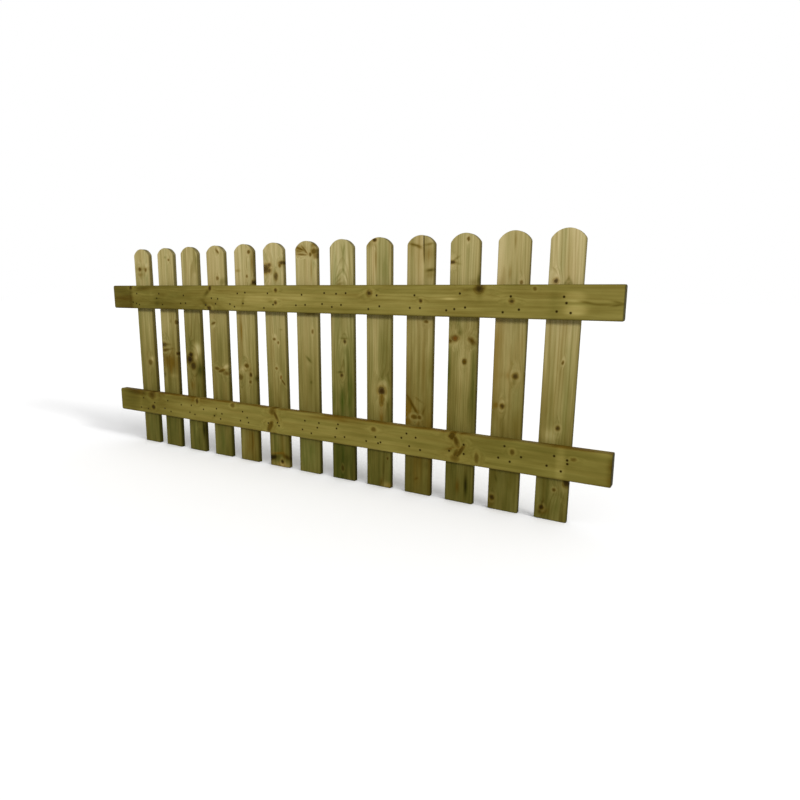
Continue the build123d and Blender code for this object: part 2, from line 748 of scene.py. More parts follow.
@dataclass(frozen=True)
class Look:
    """What tells one board from the next: how it was sawn, its marks and its own tone.

    The side painted light and tone is what its narrow sides have more of than its faces: a share
    of the light, which is painted shade on the pales' sides and the top rail's top and bottom
    edges and a painted highlight on the bottom rail's top and bottom faces, and green and brown.
    """

    cut: Cut
    knots: tuple[Knot, ...]
    stains_and_painted_light: tuple[StainAndPaintedLight, ...]
    swells: tuple[Swell, ...] = ()
    light: float = 1.0
    green: float = 0.0
    brown: float = 0.0
    figure: float = 1.0
    # painted shade on the narrow sides, with a little brown
    side_painted_light_and_tone: Triple = (-0.25, 0.0, 0.1)


@dataclass
class Board:
    """One planed board: a rounded section carried along its length between eased ends.

    The section is a rectangle with rounded corners, or arrises. A point of it is given by four
    shares: two say where on the flat it stands, from side to side and from face to face, and
    two are the cosine and sine of its turn round the corner. The edge shares are where the two
    extra points near each side of a face stand.
    """

    node: str
    slot: str
    place: Place
    length: float
    width: float
    thickness: float
    finish: bpy.types.Material
    look: Look
    seed: int
    nails_mm: tuple[Pair, ...] = ()
    arris: float = 4 * MM
    end_ease: float = 2 * MM
    row_step: float = 4 * MM
    first_gap: float = 0.6 * MM
    corner_steps: int = 4
    face_steps: int = 33
    back_steps: int = 9
    edge_shares: Pair = (0.92, 0.975)
    hollow: float = 0.15 * MM
    hollow_wander: float = 0.33
    face_waves: Triple = (0.11, 0.043, 0.03)
    side_waves: Pair = (0.16, 0.06)

    def section(self) -> tuple[np.ndarray, np.ndarray, np.ndarray, np.ndarray]:
        """Lays out one turn round the section.

        Returns:
            The flat shares across and in depth, and the corner's cosine and sine shares.
        """
        inner, outer = self.edge_shares
        face, back = (
            np.concatenate(([-1.0, -outer], np.linspace(-inner, inner, count), [outer, 1.0]))
            for count in (self.face_steps, self.back_steps)
        )
        turn = np.linspace(0, np.pi / 2, self.corner_steps + 1)[1:-1]
        side = np.array([-1.0, 0.0, 1.0])
        one_face, one_back, one_turn, one_side = map(np.ones_like, (face, back, turn, side))
        flat_across = (face, one_turn, one_side, one_turn, -back, -one_turn, -one_side, -one_turn)
        flat_depth = (-one_face, -one_turn, side, one_turn, one_back, one_turn, -side, -one_turn)
        cos, sin = np.cos(turn), np.sin(turn)
        cosine = (0 * face, sin, one_side, cos, 0 * back, -sin, -one_side, -cos)
        sine = (-one_face, -cos, 0 * side, sin, one_back, cos, 0 * side, -sin)
        return tuple(np.concatenate(part) for part in (flat_across, flat_depth, cosine, sine))

    def end_rows(self) -> np.ndarray:
        """Gives the rows that close a square end: its flat, then its eased edge.

        The loops of the flat close in on a line along the section's middle. The edge is a
        quarter circle: the section is smaller by the radius less its cosine part, and stands
        back from the end by the radius less its sine part.

        Returns:
            Rows of half width, half depth, arris, along, the outline's two normals, and how far
            the row closes in on the middle line.
        """
        angle = np.radians([90, 90, 90, 90, 60, 30, 0, 0])
        closing = np.array([1.0, 0.6, 0.25, 0.0, 0.0, 0.0, 0.0, 0.0])
        smaller = self.end_ease * (1 - np.cos(angle))
        along = self.end_ease * (1 - np.sin(angle))
        along[-1] += self.first_gap
        half, deep = self.width / 2 - smaller, self.thickness / 2 - smaller
        return row_table(half, deep, self.arris - smaller, along, 1.0, 0.0, closing)

    def straight_rows(self, first: float, last: float) -> np.ndarray:
        """Gives evenly spaced rows of the full section.

        Args:
            first: How far along the last row before them is.
            last: How far along the first row after them is.

        Returns:
            Rows like those of an end.
        """
        count = int((last - first) / self.row_step)
        along = np.linspace(first, last, count + 2)[1:-1]
        return row_table(self.width / 2, self.thickness / 2, self.arris, along, 1.0, 0.0, 0.0)

    def rows(self) -> np.ndarray:
        """Gives all rows of a board with two square ends.

        Returns:
            Rows like those of an end.
        """
        start = self.end_rows()
        end = start[::-1].copy()
        end[:, 3] = self.length - end[:, 3]
        middle = self.straight_rows(start[-1, 3], end[0, 3])
        return np.concatenate([start, middle, end])

    def surface(self) -> np.ndarray:
        """Works out the skin's points, row by row, as across, depth and along.

        Each section stands square to the outline: a point at the full side lies on the outline,
        and a point on the faces lies an arris radius inside it, along the outline's normal. The
        planed faces are hollow by a fraction of a millimetre, which wanders along the board as
        a sum of sine waves, each with its own length in metres over two pi.

        Returns:
            Rows of across, depth and along.
        """
        flat_across, flat_depth, cosine, sine = (part[None, :] for part in self.section())
        half, deep, arris, along, normal_across, normal_along, closing = (
            column[:, None] for column in self.rows().T
        )
        across = flat_across * (half - normal_across * arris) + cosine * normal_across * arris
        depth = flat_depth * (deep - arris) + sine * arris
        along = along - normal_along * arris * (1 - np.abs(cosine)) + 0 * across
        middle = np.clip(across, -(half - deep).clip(0), (half - deep).clip(0))
        across = across - closing * (across - middle)
        depth = depth * (1 - closing)
        phase = np.random.default_rng(self.seed).uniform(0, 2 * np.pi, 4)
        long, short, slant = self.face_waves
        slow = np.sin(along / long + phase[0])
        slow = slow + np.sin(along / short + across / slant + phase[1])
        long, short = self.side_waves
        sideways = np.sin(along / long + phase[2]) + np.sin(along / short + phase[3])
        face_hollow = self.hollow * (1 + self.hollow_wander * slow)
        side_hollow = self.hollow * (1 + self.hollow_wander * sideways)
        depth = depth * (1 - face_hollow / (self.thickness / 2))
        across = across * (1 - side_hollow / (self.width / 2))
        return np.stack([across.ravel(), depth.ravel(), along.ravel()], axis=1)

    def dress(self) -> bpy.types.Object:
        """Builds the skin, marks it for the timber finish, and puts it in the node's place.

        Returns:
            The finished piece.
        """
        points = self.place.to_frame(self.surface())
        columns = len(self.section()[0])
        faces = weave_quads(len(points) // columns, columns)
        piece = put_in_scene(f"{self.node}_timber", close_mesh(self.node, points, faces.tolist()))
        self.open_splits(piece)
        self.mark(piece.data)
        piece.data.materials.append(self.finish)
        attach(piece, "root")
        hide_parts(self.node)
        LOG.info("%s: %d faces, %d knots", piece.name, len(piece.data.polygons), len(self.look.knots))
        return piece

    def open_splits(self, piece: bpy.types.Object) -> None:
        """Cuts the board's dry splits, which most boards don't have."""

    def height_tone(self, along_mm: np.ndarray) -> np.ndarray:
        """Gives light, green and brown along the board; a plain board has one tone."""
        return np.tile([self.look.light, self.look.green, self.look.brown], (len(along_mm), 1))

    def mark(self, mesh: bpy.types.Mesh) -> None:
        """Stores the place in the log, knots, nails, tone and end grain on the skin.

        A swell lifts the rings by a bell curve. Each stain, painted shadow or painted highlight adds
        its share of its tone. The narrow sides, where a point is less than an arris from the edge,
        have the side painted light and tone: painted shade, on the bottom rail a painted highlight,
        and a tint of green and brown.

        Args:
            mesh: The skin's mesh.
        """
        points = self.place.to_board(read_points(mesh))
        pith = np.array(self.look.cut.value) * MM
        log_start = (self.seed * LOG_STRIDE) % LOG_LENGTH
        log = points - np.array([pith[0], pith[1], -log_start])
        for swell in self.look.swells:
            from_middle = (points[:, 0] / MM - swell.across) / swell.spread_across
            from_height = (points[:, 2] / MM - swell.along) / swell.spread_along
            log[:, 1] += swell.lift * MM * np.exp(-(from_middle**2) - from_height**2)
        store(mesh, "log", "POINT", log)

        tone = self.height_tone(points[:, 2] / MM)
        for patch in self.look.stains_and_painted_light:
            share = patch.share(points[:, 0] / MM, points[:, 2] / MM)
            tone += share[:, None] * np.array([patch.light, patch.green, patch.brown])
        # painted shade on the narrow sides, or a painted highlight on the bottom rail's top and bottom
        # faces, with their green and brown
        outwards = ((np.abs(points[:, 0]) - self.width / 2) / self.arris + 1).clip(0, 1) ** 2
        tone[:, 0] *= 1 + outwards * self.look.side_painted_light_and_tone[0]
        tone[:, 1:] += outwards[:, None] * np.array(self.look.side_painted_light_and_tone[1:])
        tone[:, 0] = tone[:, 0].clip(DARKEST_TONE)
        store(mesh, "tone", "POINT", tone)

        corner_point = np.empty(len(mesh.loops), dtype=np.int32)
        mesh.loops.foreach_get("vertex_index", corner_point)
        corners_each = np.empty(len(mesh.polygons), dtype=np.int32)
        mesh.polygons.foreach_get("loop_total", corners_each)
        face_of_corner = np.repeat(np.arange(len(corners_each)), corners_each)
        corners = points[corner_point] / MM
        centres = np.stack(
            [np.bincount(face_of_corner, corners[:, axis]) / corners_each for axis in range(3)],
            axis=1,
        )
        normals = np.empty(len(mesh.polygons) * 3)
        mesh.polygons.foreach_get("normal", normals)
        turned = normals.reshape(-1, 3) @ np.stack([self.place.depth, self.place.along]).T
        store(mesh, "end", "FACE", turned[:, 1] ** 2)
        store(mesh, "figure", "FACE", np.full(len(turned), self.look.figure))

        knot, kind = self.nearest_knot(centres, corners, face_of_corner)
        store(mesh, "knot", "CORNER", knot)
        store(mesh, "knot_kind", "CORNER", kind)
        nail = self.nearest_nail(centres, corners, face_of_corner, turned[:, 0] < FRONT_TURN)
        store(mesh, "nail", "CORNER", nail)

    def nearest_knot(
        self, centres: np.ndarray, corners: np.ndarray, face_of_corner: np.ndarray
    ) -> tuple[np.ndarray, np.ndarray]:
        """Gives each corner its place from the knot nearest to its face, in knot radii.

        Args:
            centres: Middle of each face on the board, in mm.
            corners: Place of each corner on the board, in mm.
            face_of_corner: The face that each corner belongs to.

        Returns:
            Rows of across and along in radii with the radius in metres, and rows of how dead
            it is with its strength.
        """
        middle = np.array([[k.across, k.along] for k in self.look.knots])
        size = np.array([[k.half_width, k.half_height] for k in self.look.knots])
        turn = np.radians([k.turn for k in self.look.knots])
        kind = np.array([[k.kind.value, k.strength, 0.0] for k in self.look.knots])

        def from_knots(places: np.ndarray, which: np.ndarray) -> np.ndarray:
            """Measures places from the middles of knots along their turned axes, in their radii.

            Args:
                places: One place a row, on the board, in mm.
                which: The numbers of the knots to measure each of them from.

            Returns:
                Across and along for each place and knot.
            """
            away = places[:, [0, 2]][:, None, :] - middle[which]
            cosine, sine = np.cos(turn[which]), np.sin(turn[which])
            wide = away[..., 0] * cosine + away[..., 1] * sine
            high = away[..., 1] * cosine - away[..., 0] * sine
            return np.stack([wide, high], axis=-1) / size[which]

        every = np.tile(np.arange(len(self.look.knots)), (len(centres), 1))
        reach = np.linalg.norm(from_knots(centres, every), axis=2)
        nearest = np.argmin(reach, axis=1)[face_of_corner]
        place = from_knots(corners, nearest[:, None])[:, 0, :]
        radius = size[nearest, 0] * MM
        return np.column_stack([place, radius]), kind[nearest]

    def nearest_nail(
        self,
        centres: np.ndarray,
        corners: np.ndarray,
        face_of_corner: np.ndarray,
        in_front: np.ndarray,
    ) -> np.ndarray:
        """Gives each corner of the front face its place from the nearest nail, in head radii.

        Args:
            centres: Middle of each face on the board, in mm.
            corners: Place of each corner on the board, in mm.
            face_of_corner: The face that each corner belongs to.
            in_front: Whether each face is on the side that the nails are driven from.

        Returns:
            Rows of across and along in head radii, far away where there is no nail.
        """
        if not self.nails_mm:
            return np.full((len(corners), 3), FAR_RADII)
        nails = np.array(self.nails_mm)
        away = np.linalg.norm(centres[:, None, [0, 2]] - nails[None], axis=2)
        nearest = np.argmin(away, axis=1)[face_of_corner]
        place = (corners[:, [0, 2]] - nails[nearest]) / NailHeads.head_radius_mm
        place[~in_front[face_of_corner]] = FAR_RADII
        return np.column_stack([place, np.zeros(len(place))])


def store(mesh: bpy.types.Mesh, name: str, domain: str, values: np.ndarray) -> None:
    """Stores numbers or vectors on a mesh as a named attribute.

    Args:
        mesh: The mesh.
        name: The attribute's name, which a finish reads.
        domain: POINT, FACE or CORNER.
        values: One number, or one row of three, for each of them.
    """
    kind, key = ("FLOAT_VECTOR", "vector") if values.ndim == 2 else ("FLOAT", "value")
    attribute = mesh.attributes.new(name, kind, domain)
    attribute.data.foreach_set(key, values.astype(np.float32).ravel())


@dataclass
class Rail(Board):
    """A rail: a long board on edge, seen from its post face, with well rounded arrises."""

    arris: float = 7 * MM
    end_ease: float = 3 * MM

    @staticmethod
    def lie(node: str) -> tuple[Place, float, float, float]:
        """Reads a rail's place and size from the frame.

        Args:
            node: The rail's name.

        Returns:
            Its place, length, depth and thickness.
        """
        low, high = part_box(node)
        size = high - low
        start = np.array([low.x, (low.y + high.y) / 2, (low.z + high.z) / 2])
        place = Place(start, *np.array([[0, 0, 1], [0, 1, 0], [1, 0, 0]], dtype=float))
        return place, size.x, size.z, size.y


@dataclass
class Pale(Board):
    """A pale: a flat board with a square foot and a round head.

    The head is one arc over the whole width, met at each side by a small round shoulder. The
    sides keep the planed arris, and the head is only sanded off.
    """

    head_rise: float = 28 * MM
    shoulder: float = 9 * MM
    head_ease: float = 0.8 * MM
    ease_slope: float = 1.5
    shoulder_steps: int = 7
    head_steps: int = 25
    foot_zone: ClassVar[float] = 10 * MM
    head_zone: ClassVar[float] = 40 * MM
    split: Split | None = None

    @staticmethod
    def lie(node: str) -> tuple[Place, float, float, float]:
        """Reads a pale's place and size from the frame.

        The axis runs from the middle of the two foot corners to the middle of the two places
        where the sides end below the head.

        Args:
            node: The pale's name.

        Returns:
            Its place, length, width and thickness.
        """
        low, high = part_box(node)
        points = read_points(bpy.data.objects[node].data)

        def middle(chosen: np.ndarray) -> np.ndarray:
            """Finds the point half way between the leftmost and the rightmost."""
            return chosen[[np.argmin(chosen[:, 0]), np.argmax(chosen[:, 0])]].mean(axis=0)

        foot = middle(points[points[:, 2] < low.z + Pale.foot_zone])
        shoulders = middle(points[points[:, 2] > high.z - Pale.head_zone])
        foot[1] = shoulders[1] = (low.y + high.y) / 2
        along = (shoulders - foot) / np.linalg.norm(shoulders - foot)
        across = np.array([along[2], 0.0, -along[0]])
        place = Place(foot, across, np.array([0.0, 1.0, 0.0]), along)
        extent = place.to_board(points)
        width = extent[:, 0].max() - extent[:, 0].min()
        return place, extent[:, 2].max(), width, high.y - low.y

    def rows(self) -> np.ndarray:
        """Gives the rows from the foot to the top of the round head.

        The head's radius follows from its width and rise. The shoulder's circle touches the
        side and the head's arc from inside, so its middle lies a shoulder radius from the side,
        and the head's radius less its own from the middle of the head's arc. The arris thins to
        the sanded edge over the shoulder.

        Returns:
            Rows like those of an end.
        """
        half = self.width / 2
        radius = (half**2 + self.head_rise**2) / (2 * self.head_rise)
        middle = self.length - radius
        shoulder_across = half - self.shoulder
        shoulder_up = math.sqrt((radius - self.shoulder) ** 2 - shoulder_across**2)
        meeting = math.atan2(shoulder_up, shoulder_across)
        turn = np.linspace(0, meeting, self.shoulder_steps)
        arc = np.linspace(meeting, np.pi / 2, self.head_steps)[1:]
        normal = np.concatenate([turn, arc])
        across, along = (
            np.concatenate([place + self.shoulder * wave(turn), radius * wave(arc)])
            for place, wave in ((shoulder_across, np.cos), (shoulder_up, np.sin))
        )
        ease = np.maximum(self.head_ease, self.arris - self.ease_slope * (half - across))
        deep = self.thickness / 2
        head = row_table(across, deep, ease, middle + along, np.cos(normal), np.sin(normal), 0.0)
        foot = self.end_rows()
        return np.concatenate([foot, self.straight_rows(foot[-1, 3], head[0, 3]), head])

    def open_splits(self, piece: bpy.types.Object) -> None:
        """Cuts the dry split, if the pale has one, with a wedge of two bowed sides.

        Args:
            piece: The pale's skin.
        """
        if self.split is None:
            return
        points = self.place.to_frame(self.split.wedge(self.length, self.thickness))
        count = len(points) // 2
        sides = weave_quads(2, count).tolist()
        faces = [*sides, [*range(count)][::-1], [*range(count, 2 * count)]]
        wedge = put_in_scene("split_wedge", close_mesh("split_wedge", points, faces))
        modifier = piece.modifiers.new("split", "BOOLEAN")
        modifier.operation, modifier.solver, modifier.object = "DIFFERENCE", "EXACT", wedge
        graph = bpy.context.evaluated_depsgraph_get()
        opened = bpy.data.meshes.new_from_object(piece.evaluated_get(graph))
        piece.modifiers.clear()
        piece.data = opened
        opened.shade_smooth()
        opened.set_sharp_from_angle(angle=SHARP_ANGLE)
        bpy.data.objects.remove(wedge)

    def height_tone(self, along_mm: np.ndarray) -> np.ndarray:
        """Gives light, green and brown by height: the pale is darker and greener towards its foot.

        Args:
            along_mm: How far along the pale each place is, in mm.

        Returns:
            A row of light, green and brown for each place.
        """
        height, *tones = np.array(HEIGHT_TONES).T
        light, green, brown = (np.interp(along_mm, height, tone) for tone in tones)
        look = self.look
        return np.column_stack([look.light * light, look.green + green, look.brown + brown])


@dataclass(frozen=True)
class Split:
    """A dry split that runs down from a pale's head, in mm; it drifts with the grain."""

    offset: float
    length: float
    width: float
    drift: float
    overshoot: float = 0.05
    steps: int = 12
    opening_power: float = 0.8

    def wedge(self, board_length: float, thickness: float) -> np.ndarray:
        """Works out a wedge a little longer and thicker than the split.

        The middle line drifts with the square of the depth, and the gap opens towards the head
        as a power of the way up from the tip.

        Args:
            board_length: The pale's length.
            thickness: The pale's thickness.

        Returns:
            The outline's points in front of the board, then the same behind it.
        """
        reach = np.concatenate([[-self.overshoot], np.linspace(0.0, 1.0, self.steps)])
        depth = np.clip(reach, 0, 1)
        middle = self.offset + self.drift * depth**2
        gap = self.width / 2 * (1 - depth) ** self.opening_power
        along = board_length / MM - self.length * reach
        left = np.column_stack([middle - gap, along])
        right = np.column_stack([middle + gap, along])[-2::-1]
        outline = np.concatenate([left, right]) * MM
        return np.concatenate([np.insert(outline, 1, y, axis=1) for y in (-thickness, thickness)])


@dataclass
class NailHeads:
    """The nail heads of one rail: low domes, driven flush with its post face."""

    rail: Board
    finish: bpy.types.Material
    seed: int
    head_radius_mm: ClassVar[float] = 2.5
    rim_mm: float = 0.5
    edge_mm: float = 0.12
    dome_mm: float = 0.12
    sunk_mm: float = 0.01
    size_range: Pair = (0.92, 1.08)
    sides: int = 14

    def dress(self) -> bpy.types.Object:
        """Builds every head of the rail as one mesh.

        Each head is a profile turned about the nail: a low dome, a rounded edge and a short rim
        that ends inside the wood. The profile falls with the square of the distance from the
        middle.

        Returns:
            The finished piece.
        """
        share = np.array([0.0, 0.35, 0.65, 0.88, 1.0, 1.0, 0.0])
        sunk = self.dome_mm * np.minimum(share, 1) ** 2
        sunk[-3:] += np.array([self.edge_mm, self.rim_mm, self.rim_mm])
        angle = np.linspace(0, 2 * np.pi, self.sides, endpoint=False)
        nails = np.array(self.rail.nails_mm)
        size = np.random.default_rng(self.seed).uniform(*self.size_range, len(nails))
        radius = self.head_radius_mm * size[:, None, None] * share[None, :, None]
        across = nails[:, 0, None, None] + radius * np.cos(angle)
        along = nails[:, 1, None, None] + radius * np.sin(angle)
        depth = -self.rail.thickness / 2 / MM + self.sunk_mm + sunk[None, :, None] + 0 * across
        points = np.stack([across, depth, along], axis=-1).reshape(-1, 3) * MM
        one_head = weave_quads(len(share), self.sides)
        first = np.arange(len(nails))[:, None, None] * len(share) * self.sides
        faces = (one_head[None] + first).reshape(-1, 4).tolist()
        name = f"{self.rail.node}_nail_heads"
        piece = put_in_scene(name, close_mesh(name, self.rail.place.to_frame(points), faces))
        piece.data.materials.append(self.finish)
        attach(piece, "root")
        LOG.info("%s: %d nails", name, len(nails))
        return piece


@dataclass(frozen=True)
class PhotoCamera:
    """The photograph's viewpoint, solved from the board edges, from the row's origin."""

    place_mm: Triple = (2178.9, -1544.1, 452.6)
    turn_left: float = 30.538
    tilt: float = -9.950
    roll: float = -0.308
    focal_pixels: float = 580.9
    centre_pixels: Pair = (385.0, 395.0)
    sensor_mm: float = 36.0
    clips: Pair = (0.01, 200.0)

    def build(self) -> bpy.types.Object:
        """Makes the camera: it first looks along +Y, rolls, tilts down and turns left.

        Returns:
            The camera.
        """
        data = bpy.data.cameras.new("photo_camera")
        data.sensor_fit = "HORIZONTAL"
        data.sensor_width = self.sensor_mm
        data.lens = self.focal_pixels / PHOTO_SIZE * data.sensor_width
        data.shift_x = 0.5 - self.centre_pixels[0] / PHOTO_SIZE
        data.shift_y = self.centre_pixels[1] / PHOTO_SIZE - 0.5
        data.clip_start, data.clip_end = self.clips
        camera = put_in_scene("photo_camera", data)
        turns = ((self.turn_left, "Z"), (self.tilt, "X"), (self.roll, "Y"), (90.0, "X"))
        matrix = Matrix.Translation(Vector(self.place_mm) * MM)
        for degrees, axis in turns:
            matrix = matrix @ Matrix.Rotation(math.radians(degrees), 4, axis)
        camera.matrix_world = matrix
        bpy.context.scene.camera = camera
        return camera


@dataclass(frozen=True)
class Lamp:
    """A far soft lamp: its turn to the right of the rail side, its height and its width.

    All three are in degrees. The light is the share of white that it gives a facing white
    surface.
    """

    name: str
    turn: float
    height: float
    width: float
    light: float

    def build(self, lit: bpy.types.Collection) -> None:
        """Adds the lamp. A facing white surface looks white under a strength of pi.

        Args:
            lit: The objects that it lights.
        """
        data = bpy.data.lights.new(self.name, "SUN")
        data.angle = math.radians(self.width)
        data.energy = self.light * math.pi
        turn, height = math.radians(self.turn), math.radians(self.height)
        level = math.cos(height)
        away = Vector((math.sin(turn) * level, -math.cos(turn) * level, math.sin(height)))
        lamp = put_in_scene(self.name, data)
        lamp.rotation_euler = away.to_track_quat("Z", "Y").to_euler()
        lamp.light_linking.receiver_collection = lit


@dataclass(frozen=True)
class Studio:
    """A pale floor, an even white surround and soft lamps; none of it is the object.

    One lamp lights the panel. Two others light the floor alone, so that the panel's shadow falls
    along the fence line while its boards are lit from in front.
    """

    floor_reach: float = 40.0
    floor_colour: str = "#ffffff"
    bounce_colour: str = "#b4b4b2"
    ambient: float = 0.58
    key: Lamp = Lamp("panel_lamp", turn=4, height=24, width=14, light=0.58)
    rakes: tuple[Lamp, ...] = (
        Lamp("near_floor_lamp", turn=80, height=26, width=11, light=0.5),
        Lamp("broad_floor_lamp", turn=73, height=28, width=50, light=0.58),
    )

    def build(self, floor_level: float) -> None:
        """Builds the floor, the surround and the lamps.

        Args:
            floor_level: Height of the floor.
        """
        floor = self._floor(floor_level)
        self._surround()
        panel_pieces = bpy.data.collections.new("panel_pieces")
        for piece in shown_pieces():
            panel_pieces.objects.link(piece)
        floor_only = bpy.data.collections.new("floor_only")
        floor_only.objects.link(floor)
        self.key.build(panel_pieces)
        for lamp in self.rakes:
            lamp.build(floor_only)
        bpy.context.scene.view_settings.view_transform = "Standard"

    def _seen_directly(self, graph: Graph) -> Socket:
        """Gives one for rays from the camera, a mirror or glass, and nought for others.

        Args:
            graph: The material's or world's nodes.

        Returns:
            One or nought.
        """
        path = add_node(graph.tree, "LightPath", (), None)
        kinds = ("Is Camera Ray", "Is Glossy Ray", "Is Transmission Ray")
        camera, glossy, through = (path.outputs[kind] for kind in kinds)
        return graph.math("MAXIMUM", graph.math("MAXIMUM", camera, glossy), through)

    def _floor(self, level: float) -> bpy.types.Object:
        """Builds the floor: matt and white where it is looked at, and a dull bounce elsewhere.

        Args:
            level: Height of the floor.

        Returns:
            The floor.
        """
        corners = [(x * self.floor_reach, y * self.floor_reach, level) for x, y in FLOOR_CORNERS]
        mesh = bpy.data.meshes.new("floor")
        mesh.from_pydata(corners, [], [range(len(corners))])
        material = bpy.data.materials.new("matt_white_floor")
        graph = Graph.of(material)
        looks = linear(self.bounce_colour), linear(self.floor_colour)
        matt = graph.add("BsdfDiffuse", {"Color": graph.mix(self._seen_directly(graph), *looks)})
        add_node(graph.tree, "OutputMaterial", {"Surface": matt}, None)
        mesh.materials.append(material)
        floor = put_in_scene("floor", mesh)
        floor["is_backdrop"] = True
        return floor

    def _surround(self) -> None:
        """Sets an even surround, white where it is looked at."""
        world = bpy.data.worlds.new("white_studio")
        bpy.context.scene.world = world
        graph = Graph.of(world)
        strength = graph.ramp(self._seen_directly(graph), (0.0, 1.0), self.ambient, 1.0)
        light = graph.add("Background", {"Color": (1, 1, 1, 1), "Strength": strength})
        add_node(graph.tree, "OutputWorld", {"Surface": light}, None)


def marks(kind: type, *rows: tuple) -> tuple:
    """Makes a mark of one kind from each row of its values, in the order of its fields."""
    return tuple(kind(*row) for row in rows)


PALE_PINE = TreatedPine("planed_treated_pine_pale")
RAIL_PINE = TreatedPine(
    "planed_treated_pine_rail",
    early="#ad9f5e",
    late="#807031",
    ring_spacing_mm=8.0,
    late_share=0.3,
    streak_share=0.17,
    hue_share=0.4,
)
NAIL_STEEL = ZincSteel("dull_zinc_steel_nail")

LIVE, AGED, DEAD = KnotKind

# Light, green and brown of a pale at each height in mm above its foot
HEIGHT_TONES = (
    (0.0, 0.34, 0.40, 0.15),
    (130.0, 0.39, 0.36, 0.18),
    (230.0, 0.51, 0.22, 0.23),
    (400.0, 0.66, 0.12, 0.16),
    (565.0, 0.86, 0.03, 0.08),
    (680.0, 0.95, 0.0, 0.02),
    (800.0, 1.00, 0.0, 0.0),
)
